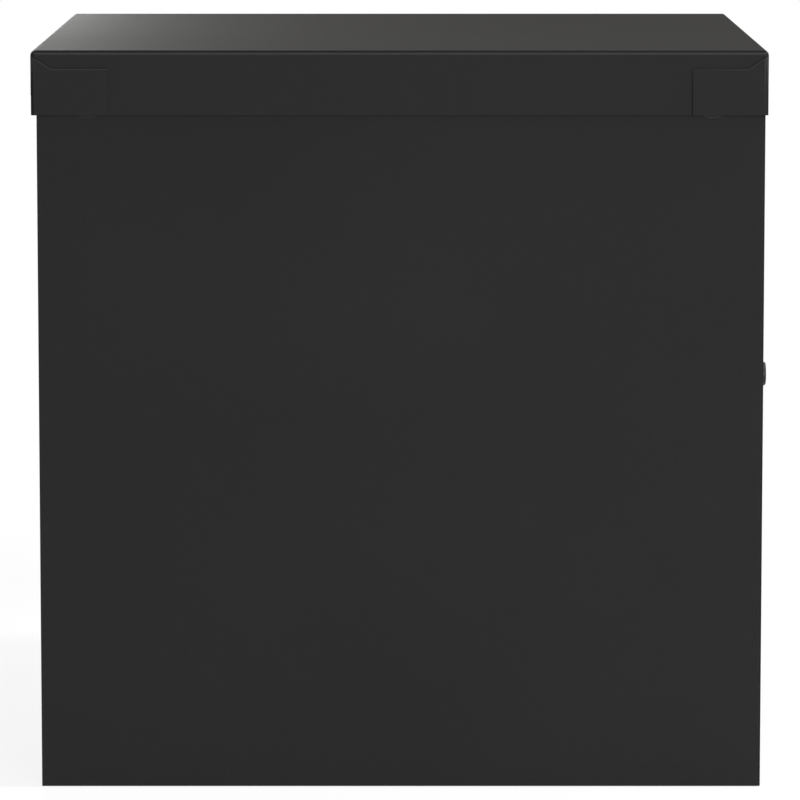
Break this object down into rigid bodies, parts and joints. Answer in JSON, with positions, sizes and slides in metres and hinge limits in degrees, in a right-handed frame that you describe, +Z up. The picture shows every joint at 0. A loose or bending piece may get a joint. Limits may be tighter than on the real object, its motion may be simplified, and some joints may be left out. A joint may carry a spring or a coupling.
{
  "type": "wall mounted mailbox",
  "caption": "Square black sheet-steel mailbox for a wall, with an overlapping hinged lid on top, a sloped drop baffle inside and a lockable front door.",
  "frame": {"origin": "on the wall plane, at the middle of the four wall holes in the back panel", "axes": "+Z up, +Y into the wall, +X to the right for someone facing the door; the door faces -Y"},
  "size_m": [0.35, 0.3683, 0.37],
  "materials": {
    "black_coat": "fine matt powder coat",
    "zinc_steel": "bright zinc plate",
    "dark_chrome": "black chrome",
    "lock_steel": "satin chrome",
    "black_rubber": "matt",
    "black_nylon": "matt"
  },
  "bodies": {
    "body": {"left_side_panel": "black_coat", "right_side_panel": "black_coat", "back_panel": "black_coat", "floor_pan": "black_coat", "front_header": "black_coat", "left_top_rail": "black_coat", "right_top_rail": "black_coat", "side_rivets": "black_coat", "drop_baffle": "black_coat", "left_hinge_strap": "zinc_steel", "right_hinge_strap": "zinc_steel", "strap_rivets": "zinc_steel", "lid_hinge_pins": "zinc_steel", "lid_bumpers": "black_rubber", "door_bumpers": "black_rubber", "door_pivot_pins": "zinc_steel"},
    "lid": {"lid": "black_coat", "left_lid_leaf": "zinc_steel", "right_lid_leaf": "zinc_steel"},
    "door": {"door": "black_coat", "door_stiffener": "black_coat", "door_bushes": "black_nylon", "lock_housing": "dark_chrome", "lock_washer": "zinc_steel", "lock_nut": "zinc_steel"},
    "lock": {"lock_plug": "lock_steel", "lock_cam": "zinc_steel", "cam_screw": "zinc_steel"}
  },
  "joints": [
    {"name": "lid_hinge", "type": "hinge", "parent": "body", "child": "lid", "pos_m": [0, -0.0078, 0.2158], "axis": [-1, 0, 0], "range_deg": [0, 90]},
    {"name": "door_hinge", "type": "hinge", "parent": "body", "child": "door", "pos_m": [0.1502, -0.3591, 0.02375], "axis": [0, 0, 1], "range_deg": [0, 110]},
    {"name": "lock_turn", "type": "hinge", "parent": "door", "child": "lock", "pos_m": [-0.1382, -0.3651, 0.055], "axis": [0, 1, 0], "range_deg": [0, 90]}
  ]
}
